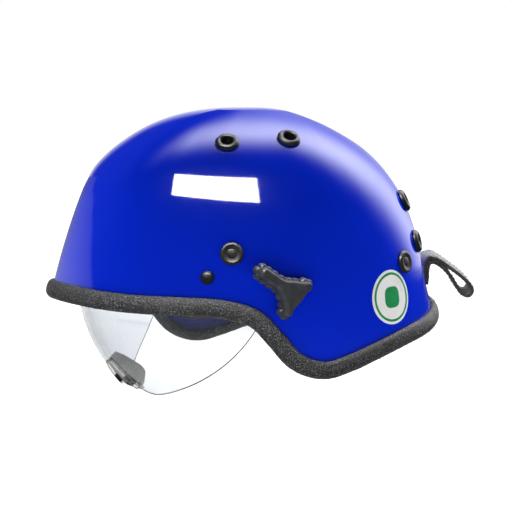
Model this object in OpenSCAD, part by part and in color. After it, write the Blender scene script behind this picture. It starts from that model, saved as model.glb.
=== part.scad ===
// Forestry helmet with a clear visor that swings up between the shell and the liner.
// Millimetres. +Z is up, the front is towards -Y and the wearer's left is towards +X.
// The origin is the centre of the head opening, level with the brow.
// A bearing is an angle about Z: 0 at the front, 90 at the wearer's left, 180 at the back.

/* [Shell] */
// Wall of the moulded shell
shell_wall = 3; // [2.5:0.5:3.5]
// How far the crown leans to the front
crown_lean = 8; // [4:1:10]
// Squareness of the shell in plan
plan_square = 0.01; // [0:0.005:0.02]
// Steps round the shell
shell_steps = 72; // [48:12:96]
// Width of the trim above the shell's cut edge
trim_grip = 8.5; // [7:0.5:9]

/* [Visor] */
// Radius of the visor at its middle, about the pivots
visor_radius = 101; // [98:1:102]
// Half width of the visor at the pivots
visor_half = 99; // [97:1:100]
// Thickness of the visor
visor_wall = 2.2; // [1.8:0.1:2.4]
// Angle from the level down to the visor's lower edge beside the nose
visor_drop = 53; // [48:1:54]
// Height of the nose notch, as an angle about the pivots
notch_rise = 19; // [12:1:20]

/* [Knobs] */
// Height of the clamp knobs
knob_height = 11; // [9:1:13]
// Radius of the pivot studs
stud_r = 4; // [3.5:0.5:4]
// Radial clearance of a shaft in its hole
running_gap = 0.06; // [0.03:0.01:0.1]

/* [Harness] */
// Half width of the headband inside
band_half_w = 78; // [74:1:79]
// Half length of the headband inside
band_half_l = 97; // [92:1:98]
// Height of the headband
band_height = 26; // [22:1:28]

/* [Goggle strap] */
// Width of the rear strap
strap_w = 19; // [16:1:22]
// Thickness of the rear strap
strap_t = 2.6; // [2:0.2:3]

/* [Hidden] */

// Outlines from the crown down, as [distance from the middle, height], one pair per level
front_line = [[0, 121], [26, 120.4], [52, 116.5], [76, 108.5], [98, 96], [114, 83], [123, 71], [129.5, 56],
    [136, 38], [142, 20], [147, 3], [151.5, -14], [156, -32]];
side_line = [[0, 121], [24, 120], [46, 115], [64, 106], [81, 93], [94, 78], [104, 61], [111, 42],
    [115.5, 22], [117.5, 1], [118, -20], [117.5, -41], [116, -62]];
back_line = [[0, 121], [20, 119.5], [38, 113], [56, 104], [74, 92], [88, 77], [98.5, 60], [106, 43],
    [111.5, 25], [115.5, 7], [120, -10], [126, -26], [133, -42]];
last_level = len(side_line) - 1;
// Height of the trim's upper edge at each bearing: level over the brow, down over the ear, up to the nape
rim_line = [[0, 1], [35, -2], [58, -3.5], [67, -7], [73, -14], [78, -27], [83, -41], [89, -47], [96, -44],
    [106, -37], [120, -29], [140, -22.5], [160, -17], [180, -14]];

// Places on the skin, as [bearing, level], for the wearer's left side
vent_places = [[59.3, 3.69], [86.8, 3.46], [144.5, 6.25], [142.6, 7.79]];
front_cap_place = [63.1, 7.96];
rear_cap_place = [125.5, 8.36];
small_cap_place = [56.9, 8.81];
badge_place = [116, 9.44];
badge_r = 19;

// Pivot axis of the visor, parallel to X
pivot_y = -29;
pivot_z = 1;
lug_r = 14;
visor_power = 2.1;
visor_top_angle = -8;
lug_out = visor_half - 0.6;
lug_in = lug_out - visor_wall;
boss_in = visor_half + 1.5;
boss_out = 110;
bush_out = 118.3;
knob_back = 118.8;
nut_in = lug_in - 4.2;

// Liner: half width, half length to the front, half length to the back, height, outside and inside
liner_out = [94, 112, 110, 113];
liner_in = [84, 102, 100, 101];
liner_foot = -8;
// The headband's middle height swings this far up at the front and down at the back
band_mid = -9.5;
band_tilt = 14.5;
band_t = 1.8;

// Rear strap: routes of its middle line in the YZ plane
base_route = [[122.6, -12.5], [125, -10.5], [127.4, -6], [128.8, 0], [129.4, 7]];
flap_route = [[129.6, 7.8], [130.6, 12.4], [134, 15.8], [139, 16], [144.5, 13], [152, 7.6], [159, 2], [164, -4],
    [165.4, -9], [163, -11.8], [159, -10.4], [154, -5.4], [149, -0.4], [144.6, 4.2], [141.6, 8.6]];

function unit(v) = v / norm(v);
function spline(p, t) = let(n = len(p) - 1, i = min(floor(t), n - 1), f = t - i, a = p[i], b = p[i + 1],
    ma = i > 0 ? (b - p[i - 1]) / 2 : [b[0] - a[0], 0],
    mb = i + 2 <= n ? (p[i + 2] - a) / 2 : b - a)
    (2 * f ^ 3 - 3 * f ^ 2 + 1) * a + (f ^ 3 - 2 * f ^ 2 + f) * ma + (3 * f ^ 2 - 2 * f ^ 3) * b
    + (f ^ 3 - f ^ 2) * mb;
// Point of the shell's outside at a bearing and a level
function skin(th, t) = let(s = sin(th), c = cos(th), side = spline(side_line, t),
    lead = spline(c > 0 ? front_line : back_line, t))
    [side[0] * (s + plan_square * sin(3 * th)) / (1 - plan_square),
    -lead[0] * (c - plan_square * cos(3 * th)) / (1 - plan_square) - crown_lean * max(0, 1 - t / 6),
    side[1] * s * s + lead[1] * c * c];
// Outward normal of the shell
function facing(th, t) = t < 0.1 ? [0, 0, 1]
    : unit(cross(skin(th, min(t + 0.02, last_level)) - skin(th, t - 0.02), skin(th + 0.2, t) - skin(th - 0.2, t)));
// A point at a depth inside the shell's outside
function under(th, t, depth) = skin(th, t) - depth * facing(th, t);

function grade(p, k) = k <= 0 || k >= len(p) - 1 ? 0 : (p[k + 1][1] - p[k - 1][1]) / (p[k + 1][0] - p[k - 1][0]);
function smooth_at(p, x) = let(i = [for (k = [0 : len(p) - 2]) if (x <= p[k + 1][0]) k][0],
    h = p[i + 1][0] - p[i][0], f = (x - p[i][0]) / h)
    (2 * f ^ 3 - 3 * f ^ 2 + 1) * p[i][1] + (f ^ 3 - 2 * f ^ 2 + f) * h * grade(p, i)
    + (3 * f ^ 2 - 2 * f ^ 3) * p[i + 1][1] + (f ^ 3 - f ^ 2) * h * grade(p, i + 1);
function turned(th) = let(d = th % 360, e = d < 0 ? d + 360 : d) min(e, 360 - e);
function rim_height(th) = smooth_at(rim_line, turned(th));
// Level at which the skin has a height
function level_at(th, z, lo = 5, hi = last_level, n = 14) = let(m = (lo + hi) / 2)
    n == 0 ? m : skin(th, m)[2] > z ? level_at(th, z, m, hi, n - 1) : level_at(th, z, lo, m, n - 1);
function rim_level(th) = level_at(th, rim_height(th));
function rim_point(th) = skin(th, rim_level(th));
// Direction across the rim, down the shell
function rim_down(th) = unit(cross(rim_point(th + 1) - rim_point(th - 1), facing(th, rim_level(th))));
// A point across the rim: down from the trim's upper edge and out from the skin
function rim_at(th, down, out) = rim_point(th) + down * rim_down(th) + out * facing(th, rim_level(th));

// Triangles between rings of m points; wrap joins the last ring to the first, around closes each ring
function grid(n, m, first, wrap, around) = [for (j = [0 : n - (wrap ? 1 : 2)], k = [0 : m - (around ? 1 : 2)])
    let(a = first + j * m + k, b = first + j * m + (k + 1) % m,
        c = first + ((j + 1) % n) * m + (k + 1) % m, d = first + ((j + 1) % n) * m + k)
    each [[a, c, b], [a, d, c]]];
function flat_list(rings) = [for (r = rings) each r];
module ring_solid(rings) polyhedron(flat_list(rings), grid(len(rings), len(rings[0]), 0, true, true));
module bar_solid(rings) {
    n = len(rings);
    m = len(rings[0]);
    caps = [[for (k = [0 : m - 1]) k], [for (k = [m - 1 : -1 : 0]) (n - 1) * m + k]];
    polyhedron(flat_list(rings), concat(grid(n, m, 0, false, true), caps));
}
// A dome: each ring runs down the outside and back up the inside; top and under close it at the crown
module dome_solid(rings, top, inner_top) {
    n = len(rings);
    m = len(rings[0]);
    outer_cap = [for (j = [0 : n - 1]) [0, 2 + ((j + 1) % n) * m, 2 + j * m]];
    inner_cap = [for (j = [0 : n - 1]) [1, 2 + j * m + m - 1, 2 + ((j + 1) % n) * m + m - 1]];
    polyhedron(concat([top, inner_top], flat_list(rings)), concat(grid(n, m, 2, true, false), outer_cap, inner_cap));
}
// Stands children on the shell, +Z outwards
module on_skin(place, mirrored = false) {
    p = skin(place[0], place[1]);
    n = facing(place[0], place[1]);
    mirror([mirrored ? 1 : 0, 0, 0])
        translate(p) rotate([0, acos(n[2]), atan2(n[1], n[0])]) children();
}
module both_sides(place) for (m = [false, true]) on_skin(place, m) children();
// Lays children along X from the pivot axis, on the left or, mirrored, on the right
module at_pivot(x, mirrored = false) mirror([mirrored ? 1 : 0, 0, 0])
    translate([x, pivot_y, pivot_z]) rotate([0, 90, 0]) children();
module tube(r_out, r_in, h) difference() {
    cylinder(r = r_out, h = h, $fn = 64);
    translate([0, 0, -1]) cylinder(r = r_in, h = h + 2, $fn = 64);
}

module shell() color("#0a2cc8") difference() {
    levels = 15;
    dome_solid([for (j = [0 : shell_steps - 1]) let(th = j * 360 / shell_steps, edge = rim_level(th))
        concat([for (k = [1 : levels]) skin(th, edge * k / levels)],
            [rim_at(th, trim_grip, 0), rim_at(th, trim_grip, -shell_wall)],
            [for (k = [levels : -1 : 1]) under(th, edge * k / levels, shell_wall)])],
        skin(0, 0), skin(0, 0) - [0, 0, shell_wall]);
    for (v = vent_places) both_sides(v) translate([0, 0, -9]) cylinder(r = 6.1, h = 15, $fn = 48);
    both_sides(front_cap_place) translate([0, 0, -9]) cylinder(r = 3.05, h = 15, $fn = 32);
    both_sides(rear_cap_place) translate([0, 0, -9]) cylinder(r = 3.05, h = 15, $fn = 32);
    both_sides(small_cap_place) translate([0, 0, -9]) cylinder(r = 2.05, h = 15, $fn = 32);
    for (m = [false, true]) at_pivot(boss_out - 2, m) cylinder(r = 6.05, h = 14, $fn = 64);
}

// Rubber channel over the cut edge: [down from the upper edge, out from the skin]
trim_section = [[0, 0.12], [-0.3, 1.7], [1.4, 3.5], [5, 4.2], [9, 3.6], [11.6, 1.2], [12, -1.5], [11.4, -4.4],
    [8.5, -6.4], [4, -6.9], [1.2, -6.3], [-0.3, -4.7], [0, -shell_wall - 0.12], [trim_grip + 0.1, -shell_wall - 0.12],
    [trim_grip + 0.1, 0.12]];
module edge_trim() color("#3a3a3c")
    ring_solid([for (j = [0 : shell_steps - 1]) let(th = j * 360 / shell_steps)
        [for (p = trim_section) rim_at(th, p[0], p[1])]]);

module vent_eyelets() color("#26272a") for (v = vent_places) both_sides(v) rotate_extrude($fn = 48)
    polygon([[4, -5.9], [5.9, -5.9], [5.9, 0.15], [8.25, 0.15], [8.1, 1.3], [7, 2.8], [5.8, 3.3], [4.6, 2.9], [4, 1.8]]);
module eyelet_rings() color("#1c1d20") for (v = vent_places) both_sides(v)
    translate([0, 0, -5.7]) tube(8.2, 6, 1.4);
module big_cap(shank) rotate_extrude($fn = 48)
    polygon([[0, -shank], [2.9, -shank], [2.9, 0.2], [7.85, 0.2], [7.85, 1.6], [7.2, 2.6], [6, 2.9], [5.2, 2.6],
        [3, 2.2], [0, 2.1]]);
module harness_caps() color("#2e2f31") {
    both_sides(front_cap_place) big_cap(6.6);
    both_sides(rear_cap_place) big_cap(10);
}
module guide_caps() color("#141416") both_sides(small_cap_place) rotate_extrude($fn = 48)
    polygon([[0, -6.4], [1.9, -6.4], [1.9, 0.2], [4.65, 0.2], [4.5, 1.2], [3.4, 2.2], [1.8, 2.7], [0, 2.9]]);
module rivet_washers() color("#9a9ca0") both_sides(rear_cap_place) translate([0, 0, -4.9]) tube(6.5, 3, 1.4);
// A low plate that bridges the two front rivets inside the shell and keeps the visor off them
module visor_guides() color("#1e1f22") for (m = [false, true]) difference() {
    hull() {
        on_skin(front_cap_place, m) translate([0, 0, -5.4]) cylinder(r = 8, h = 1.8, $fn = 28);
        on_skin(small_cap_place, m) translate([0, 0, -5.4]) cylinder(r = 6, h = 1.8, $fn = 28);
    }
    on_skin(front_cap_place, m) translate([0, 0, -8]) cylinder(r = 3, h = 8, $fn = 32);
    on_skin(small_cap_place, m) translate([0, 0, -8]) cylinder(r = 2, h = 8, $fn = 32);
}
module liner_posts() color("#2c2d30") both_sides(rear_cap_place) difference() {
    translate([0, 0, -18.8]) cylinder(r = 8.5, h = 13.7, $fn = 48);
    translate([0, 0, -10.1]) cylinder(r = 3, h = 8, $fn = 32);
}
module crown_spacer() color("#55575c") translate([0, -6, liner_out[3] + 0.3]) cylinder(r = 17, h = 2, $fn = 64);

// Point on an egg-shaped dome: e holds the half width, the half lengths to front and back, and the height
function egg(e, th, up) = [e[0] * sin(th) * cos(up), -(cos(th) > 0 ? e[1] : e[2]) * cos(th) * cos(up), e[3] * sin(up)];
module impact_liner() color("#4a4c50") difference() {
    rows = 10;
    foot_out = asin(liner_foot / liner_out[3]);
    foot_in = asin(liner_foot / liner_in[3]);
    dome_solid([for (j = [0 : 47]) let(th = j * 7.5)
        concat([for (k = [1 : rows]) egg(liner_out, th, 90 - k * (90 - foot_out) / rows)],
            [for (k = [rows : -1 : 1]) egg(liner_in, th, 90 - k * (90 - foot_in) / rows)])],
        [0, 0, liner_out[3]], [0, 0, liner_in[3]]);
    for (v = vent_places) both_sides(v) translate([0, 0, -50]) cylinder(r = 5, h = 45, $fn = 32);
}

// Point on an oval about the head, grow outside the headband's inner face
function oval(th, grow, z) = [(band_half_w + grow) * sin(th), -(band_half_l + grow) * cos(th), z];
function band_z(th) = band_mid + band_tilt * cos(th);
// An oval strip from one bearing to another, with rounded top and bottom edges
function strip_ring(th, in, out, half) = let(z = band_z(th), r = min(half, (out - in) / 2) * 0.7)
    [oval(th, in, z - half + r), oval(th, in, z + half - r), oval(th, in + r, z + half), oval(th, out - r, z + half),
        oval(th, out, z + half - r), oval(th, out, z - half + r), oval(th, out - r, z - half), oval(th, in + r, z - half)];
module headband() color("#202226") ring_solid([for (j = [0 : 59]) strip_ring(j * 6, 0, band_t, band_height / 2)]);
module sweatband() color("#3b3f45")
    bar_solid([for (j = [0 : 22]) strip_ring(-72 + j * 144 / 22, -5.2, -0.3, j % 22 == 0 ? 8 : 14)]);
module nape_pad() color("#3b3f45")
    bar_solid([for (j = [0 : 10]) strip_ring(145 + j * 7, -5.2, -0.3, j % 10 == 0 ? 6 : 11)]);
module headband_clips() color("#17181b") for (th = [40, 90, -40, -90])
    bar_solid([for (d = [-5, 0, 5]) strip_ring(th + d, band_t + 0.1, band_t + 2, 9)]);

// One crown strap over the head, in the upright plane at a bearing, at a height under the liner
module crown_strap(th, lift) {
    half_w = 10;
    t = 1.2;
    along = [sin(th), -cos(th), 0];
    across = [cos(th), sin(th), 0];
    reach = norm([76 * sin(th), 95 * cos(th)]);
    bar_solid([for (k = [0 : 20]) let(a = 13 + k * 169 / 20)
        let(o = along * (reach - lift) * cos(a) + [0, 0, (93 - lift) * sin(a)], n = unit([along[0] * cos(a),
            along[1] * cos(a), sin(a)]))
        [o - half_w * across, o + half_w * across, o + half_w * across - t * n, o - half_w * across - t * n]]);
}
module cradle_straps() color("#15171b") {
    crown_strap(38, 0);
    crown_strap(-38, 3);
}
module crown_pad() color("#2f5560") translate([0, 0, 77]) rotate_extrude($fn = 64)
    polygon([[0, 0], [30, -3.5], [35, -1], [34, 2.5], [20, 6.4], [0, 8.4]]);

// Padding of the ear flap: hangs inside the shell, clear of the trim's inner lip
module side_pad(side) {
    steps = 12;
    bar_solid([for (j = [0 : steps]) let(a = 82 + j * 34 / steps, th = side > 0 ? a : -82 - (steps - j) * 34 / steps,
            end = j == 0 || j == steps ? 0.55 : 1, low = rim_level(th) - 0.18, high = low - 1.1 * end)
        [under(th, low, 4), under(th, high, 4), under(th, high - 0.05, 6), under(th, high + 0.1, 4 + 8.5 * end),
            under(th, low - 0.1, 4 + 8.5 * end), under(th, low + 0.03, 6)]]);
}
module left_side_pad() color("#24404a") side_pad(1);
module right_side_pad() color("#24404a") side_pad(-1);

housing_y = band_half_l + band_t + 0.4;
housing_t = 6;
nape_z = band_mid - band_tilt;
module along_y(y) translate([0, y, nape_z]) rotate([-90, 0, 0]) children();
module ratchet_housing() color("#1a1b1e") difference() {
    along_y(housing_y) {
        translate([-20, -10, 0]) cube([40, 20, housing_t]);
        for (x = [-20, 20]) translate([x, 0, 0]) cylinder(r = 10, h = housing_t, $fn = 48);
    }
    along_y(housing_y + 1) cylinder(r = 7.5, h = housing_t - 2.5, $fn = 48);
    along_y(housing_y - 1) cylinder(r = 3 + running_gap, h = housing_t + 2, $fn = 48);
}
module ratchet_knob() color("#2a2c30") {
    along_y(housing_y + housing_t + 0.3) difference() {
        cylinder(r = 13, h = 7, $fn = 64);
        for (k = [0 : 15]) rotate(k * 22.5) translate([14.2, 0, -1]) cylinder(r = 2.2, h = 9, $fn = 24);
    }
    along_y(housing_y + 0.5) cylinder(r = 3, h = housing_t, $fn = 48);
}
module ratchet_pinion() color("#c9c9c4") along_y(housing_y + 1.4) difference() {
    union() {
        cylinder(r = 5, h = 2.4, $fn = 48);
        for (k = [0 : 9]) rotate(k * 36) translate([4, -0.8, 0]) cube([2.8, 1.6, 2.4]);
    }
    translate([0, 0, -1]) cylinder(r = 3.02, h = 5, $fn = 48);
}

module pivot_bosses() color("#1c1e22") for (m = [false, true]) at_pivot(boss_in, m)
    tube(10, 6.05, boss_out - boss_in);
module pivot_bushes() color("#8e9196") for (m = [false, true]) at_pivot(0, m) rotate_extrude($fn = 64)
    polygon([[stud_r + running_gap, boss_in], [6, boss_in], [6, 116.9], [9, 116.9], [9, bush_out],
        [stud_r + running_gap, bush_out]]);
module visor_washers() color("#d8d6cf") for (m = [false, true]) at_pivot(lug_out + 0.3, m)
    tube(9, stud_r + 0.3, boss_in - lug_out - 0.4);

// A point of the round sticker, at a radius and a turn about its middle, lifted off the shell
function badge_point(r, a, lift) = let(t = badge_place[1] - r * sin(a) / 18.3, th = badge_place[0] + r * cos(a) / 2.06)
    skin(th, t) + lift * facing(th, t);
module badge() color("#f2f3f0") {
    span = 40;
    lift = 0.6;
    gap = 0.15;
    dome_solid([for (k = [0 : span - 1]) let(a = k * 360 / span)
        [badge_point(badge_r / 2, a, lift), badge_point(badge_r, a, lift), badge_point(badge_r, a, gap),
            badge_point(badge_r / 2, a, gap)]],
        badge_point(0, 0, lift), badge_point(0, 0, gap));
}

// Strap section rings along a route in the YZ plane
function route_normal(r, k) = let(d = r[min(k + 1, len(r) - 1)] - r[max(k - 1, 0)]) [-d[1], d[0]] / norm(d);
function strap_rings(r, half_w, half_t) = [for (k = [0 : len(r) - 1]) let(n = route_normal(r, k) * half_t)
    [for (s = [[-1, -1], [1, -1], [1, 1], [-1, 1]]) [s[0] * half_w, r[k][0] + s[1] * n[0], r[k][1] + s[1] * n[1]]]];
module strap_base() color("#6b6b6d") bar_solid(strap_rings(base_route, strap_w / 2, strap_t / 2));
module strap_flap() color("#8c8c8e") bar_solid(strap_rings(flap_route, strap_w / 2, strap_t / 2));
module snap_stud() color("#232326") translate([0, 130.6, -2]) rotate([-90, 0, 0]) rotate_extrude($fn = 48)
    polygon([[0, 0], [6, 0], [6, 1], [4.2, 1.4], [3.4, 2.6], [0, 2.8]]);

// Angle down to the visor's lower edge at a distance from the middle, with the notch over the nose
function visor_low(x) = visor_drop + 16 * pow(abs(x) / 106, 3) - notch_rise * exp(-pow(x / 14, 2));
// Half width and radius of the visor where its rule has an angle, thinner by in
function visor_x(q, in) = (visor_half - in) * sign(sin(q)) * pow(abs(sin(q)), 2 / visor_power);
function visor_rho(q, in) = (visor_radius - in) * pow(abs(cos(q)), 2 / visor_power);
function about_pivot(x, rho, down) = [x, pivot_y - rho * cos(down), pivot_z - rho * sin(down)];
module visor_lens() color([0.92, 0.94, 0.95, 0.35]) difference() {
    union() {
        rows = 9;
        steps = 40;
        last = 83;
        bar_solid([for (j = [0 : steps]) let(q = -last + j * 2 * last / steps, low = visor_low(visor_x(q, 0)))
            concat([for (k = [0 : rows]) about_pivot(visor_x(q, 0), visor_rho(q, 0),
                    visor_top_angle + k * (low - visor_top_angle) / rows)],
                [for (k = [rows : -1 : 0]) about_pivot(visor_x(q, visor_wall), visor_rho(q, visor_wall),
                    visor_top_angle + k * (low - visor_top_angle) / rows)])]);
        for (m = [false, true]) at_pivot(lug_in, m) cylinder(r = lug_r, h = visor_wall, $fn = 64);
    }
    for (m = [false, true]) at_pivot(lug_in - 1, m) cylinder(r = stud_r + running_gap, h = visor_wall + 2, $fn = 64);
}
// Soft edge round the nose notch, with a flange towards the face
module nose_piece() color([0.85, 0.86, 0.86, 0.6]) {
    steps = 20;
    reach = 27;
    inside = -visor_wall - 0.15;
    section = [[1.2, 2.6], [1.8, 0], [1, -1.6], [-3, -1.8], [-13, -4.5], [-13.4, -2], [-4.4, 1], [-3.4, 2.6],
        [inside, 2.6], [inside, -0.12], [0.12, -0.12], [0.12, 2.6]];
    bar_solid([for (j = [0 : steps]) let(x = -reach + j * 2 * reach / steps, q = asin(pow(abs(x) / visor_half,
            visor_power / 2)) * sign(x), low = visor_low(x), rho = visor_rho(q, 0))
        [for (p = section) about_pivot(x * (1 + (p[1] < -1 ? p[0] * 0.004 : 0)), rho + p[0],
            low - p[1] / rho * 180 / PI * 0.9)]]);
}
module nose_stops() color("#202124") for (s = [-1, 1])
    translate(about_pivot(s * 33, visor_radius - 10.4, visor_low(33) - 1.6)) rotate([-visor_drop, 0, 0])
        translate([-4, -1.5, -1.5]) cube([8, 3, 3]);

// Three-armed knob: [direction in the YZ plane, length, half width of each arm]
knob_arms = [[144, 27, 5], [18, 18, 4.5], [254, 19.5, 4.5]];
module knob() difference() {
    linear_extrude(knob_height) {
        circle(r = 9, $fn = 48);
        for (a = knob_arms) rotate(a[0]) {
            translate([0, -a[2]]) square([a[1] - a[2], 2 * a[2]]);
            translate([a[1] - a[2], 0]) circle(r = a[2], $fn = 32);
        }
    }
    translate([0, 0, -1]) cylinder(r = stud_r + 0.02, h = 5, $fn = 64);
}
// Turns the knob's own plane, with its X along +Y and its Y along +Z, to face out of the left side
module knob_place(m) mirror([m ? 1 : 0, 0, 0]) translate([knob_back, pivot_y, pivot_z])
    rotate([90, 0, 90]) knob();
module stud(m) at_pivot(nut_in - 0.4, m) cylinder(r = stud_r, h = knob_back + 3.8 - nut_in, $fn = 64);
module nut(m) at_pivot(nut_in, m) difference() {
    cylinder(r = 8, h = 3.6, $fn = 6);
    translate([0, 0, -1]) cylinder(r = stud_r + 0.02, h = 6, $fn = 64);
}
module left_knob() color("#37393e") knob_place(false);
module right_knob() color("#37393e") knob_place(true);
module left_stud() color("#a8aaae") stud(false);
module right_stud() color("#a8aaae") stud(true);
module left_nut() color("#8c8f94") nut(false);
module right_nut() color("#8c8f94") nut(true);

shell();
edge_trim();
vent_eyelets();
eyelet_rings();
harness_caps();
guide_caps();
rivet_washers();
visor_guides();
liner_posts();
crown_spacer();
impact_liner();
headband();
headband_clips();
cradle_straps();
crown_pad();
sweatband();
nape_pad();
left_side_pad();
right_side_pad();
ratchet_housing();
pivot_bosses();
pivot_bushes();
visor_washers();
badge();
strap_base();
snap_stud();
visor_lens();
nose_piece();
nose_stops();
left_knob();
left_stud();
left_nut();
right_knob();
right_stud();
right_nut();
ratchet_knob();
ratchet_pinion();
strap_flap();
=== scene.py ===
"""Looks of the forestry helmet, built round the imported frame. Shapes are worked out in millimetres,
with +Z up, the front towards -Y and the wearer's left towards +X, and are written in metres."""

import math

import bmesh
import bpy
import numpy as np
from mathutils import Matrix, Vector, noise


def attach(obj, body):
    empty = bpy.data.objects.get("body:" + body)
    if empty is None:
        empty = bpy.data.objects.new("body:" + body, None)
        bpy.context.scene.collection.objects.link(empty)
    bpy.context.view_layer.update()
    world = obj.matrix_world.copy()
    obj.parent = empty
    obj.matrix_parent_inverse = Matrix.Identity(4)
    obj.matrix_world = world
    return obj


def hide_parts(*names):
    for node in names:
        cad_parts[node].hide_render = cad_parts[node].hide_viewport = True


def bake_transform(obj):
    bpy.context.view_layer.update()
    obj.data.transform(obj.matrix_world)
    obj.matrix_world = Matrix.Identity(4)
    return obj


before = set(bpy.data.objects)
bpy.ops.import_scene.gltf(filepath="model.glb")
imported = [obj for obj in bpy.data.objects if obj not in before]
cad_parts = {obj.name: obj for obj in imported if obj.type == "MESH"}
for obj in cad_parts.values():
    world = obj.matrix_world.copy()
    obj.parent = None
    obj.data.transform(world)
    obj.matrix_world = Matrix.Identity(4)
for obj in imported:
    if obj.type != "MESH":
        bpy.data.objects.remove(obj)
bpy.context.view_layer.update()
MM = 0.001
scene = bpy.context.scene

# ---------------------------------------------------------------- camera
AZIMUTH, ELEVATION, DISTANCE = math.radians(67), math.radians(4.7), 1.6
TARGET = Vector((0, -0.002, 0.015))
BACK = Vector((math.sin(AZIMUTH) * math.cos(ELEVATION), -math.cos(AZIMUTH) * math.cos(ELEVATION),
               math.sin(ELEVATION)))
CAMERA_AT = TARGET + DISTANCE * BACK


def add_camera():
    data = bpy.data.cameras.new("camera")
    data.lens = 157.5
    data.sensor_width = 36
    camera = bpy.data.objects.new("camera", data)
    camera.location = CAMERA_AT
    camera.rotation_euler = BACK.to_track_quat("Z", "Y").to_euler()
    scene.collection.objects.link(camera)
    scene.camera = camera


add_camera()
scene.view_settings.view_transform = "Standard"

# ---------------------------------------------------------------- outline of the shell, as in the CAD
FRONT_LINE = [[0, 121], [26, 120.4], [52, 116.5], [76, 108.5], [98, 96], [114, 83], [123, 71], [129.5, 56],
              [136, 38], [142, 20], [147, 3], [151.5, -14], [156, -32]]
SIDE_LINE = [[0, 121], [24, 120], [46, 115], [64, 106], [81, 93], [94, 78], [104, 61], [111, 42],
             [115.5, 22], [117.5, 1], [118, -20], [117.5, -41], [116, -62]]
BACK_LINE = [[0, 121], [20, 119.5], [38, 113], [56, 104], [74, 92], [88, 77], [98.5, 60], [106, 43],
             [111.5, 25], [115.5, 7], [120, -10], [126, -26], [133, -42]]
LAST_LEVEL = len(SIDE_LINE) - 1
RIM_LINE = np.array([[0, 1], [35, -2], [58, -3.5], [67, -7], [73, -14], [78, -27], [83, -41], [89, -47],
                     [96, -44], [106, -37], [120, -29], [140, -22.5], [160, -17], [180, -14]], float)
SQUARE = 0.01
LEAN = 8
WALL = 3
VENTS = [[59.3, 3.69], [86.8, 3.46], [144.5, 6.25], [142.6, 7.79]]
FRONT_CAP, REAR_CAP, SMALL_CAP = [63.1, 7.96], [125.5, 8.36], [56.9, 8.81]
BADGE = [116, 9.44]
PIVOT_Y, PIVOT_Z = -29, 1


def unit(v):
    v = np.asarray(v, float)
    return v / np.linalg.norm(v, axis=-1, keepdims=True)


def hermite(a, b, ma, mb, f):
    return ((2 * f**3 - 3 * f**2 + 1) * a + (f**3 - 2 * f**2 + f) * ma
            + (3 * f**2 - 2 * f**3) * b + (f**3 - f**2) * mb)


def spline(line, t):
    p = np.array(line, float)
    n = len(p) - 1
    t = np.clip(np.asarray(t, float), 0, n)
    i = np.minimum(t.astype(int), n - 1)
    a, b = p[i], p[i + 1]
    ma = np.where((i > 0)[..., None], (b - p[np.maximum(i - 1, 0)]) / 2, (b - a) * [1, 0])
    mb = np.where((i + 2 <= n)[..., None], (p[np.minimum(i + 2, n)] - a) / 2, b - a)
    return hermite(a, b, ma, mb, (t - i)[..., None])


def skin(bearing, level):
    """Points of the shell's outside at bearings (degrees) and levels."""
    bearing, level = np.broadcast_arrays(np.asarray(bearing, float), np.asarray(level, float))
    q = np.radians(bearing)
    s, c = np.sin(q), np.cos(q)
    side = spline(SIDE_LINE, level)
    lead = np.where((c > 0)[..., None], spline(FRONT_LINE, level), spline(BACK_LINE, level))
    x = side[..., 0] * (s + SQUARE * np.sin(3 * q)) / (1 - SQUARE)
    y = -lead[..., 0] * (c - SQUARE * np.cos(3 * q)) / (1 - SQUARE) - LEAN * np.maximum(0, 1 - level / 6)
    return np.stack([x, y, side[..., 1] * s * s + lead[..., 1] * c * c], -1)


def facing(bearing, level):
    """Outward normals of the shell."""
    bearing, level = np.broadcast_arrays(np.asarray(bearing, float), np.asarray(level, float))
    low = np.maximum(level, 0.1)
    down = skin(bearing, np.minimum(low + 0.02, LAST_LEVEL)) - skin(bearing, low - 0.02)
    out = unit(np.cross(down, skin(bearing + 0.2, low) - skin(bearing - 0.2, low)))
    return np.where((level < 0.1)[..., None], np.array([0, 0, 1.0]), out)


def under(bearing, level, depth):
    return skin(bearing, level) - np.asarray(depth, float)[..., None] * facing(bearing, level)


def rim_height(bearing):
    d = np.mod(np.asarray(bearing, float), 360)
    d = np.minimum(d, 360 - d)
    slope = np.zeros(len(RIM_LINE))
    slope[1:-1] = (RIM_LINE[2:, 1] - RIM_LINE[:-2, 1]) / (RIM_LINE[2:, 0] - RIM_LINE[:-2, 0])
    i = np.clip(np.searchsorted(RIM_LINE[:, 0], d, "left") - 1, 0, len(RIM_LINE) - 2)
    h = RIM_LINE[i + 1, 0] - RIM_LINE[i, 0]
    return hermite(RIM_LINE[i, 1], RIM_LINE[i + 1, 1], h * slope[i], h * slope[i + 1], (d - RIM_LINE[i, 0]) / h)


def rim_level(bearing):
    bearing = np.asarray(bearing, float)
    goal = rim_height(bearing)
    low, high = np.full(bearing.shape, 5.0), np.full(bearing.shape, float(LAST_LEVEL))
    for _ in range(18):
        mid = (low + high) / 2
        above = skin(bearing, mid)[..., 2] > goal
        low, high = np.where(above, mid, low), np.where(above, high, mid)
    return (low + high) / 2


def rim_at(bearing, down, out):
    """Points across the rim: down from the trim's upper edge and out from the skin."""
    bearing = np.asarray(bearing, float)
    level = rim_level(bearing)
    face = facing(bearing, level)
    along = skin(bearing + 1, rim_level(bearing + 1)) - skin(bearing - 1, rim_level(bearing - 1))
    return (skin(bearing, level) + np.asarray(down, float)[..., None] * unit(np.cross(along, face))
            + np.asarray(out, float)[..., None] * face)


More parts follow.
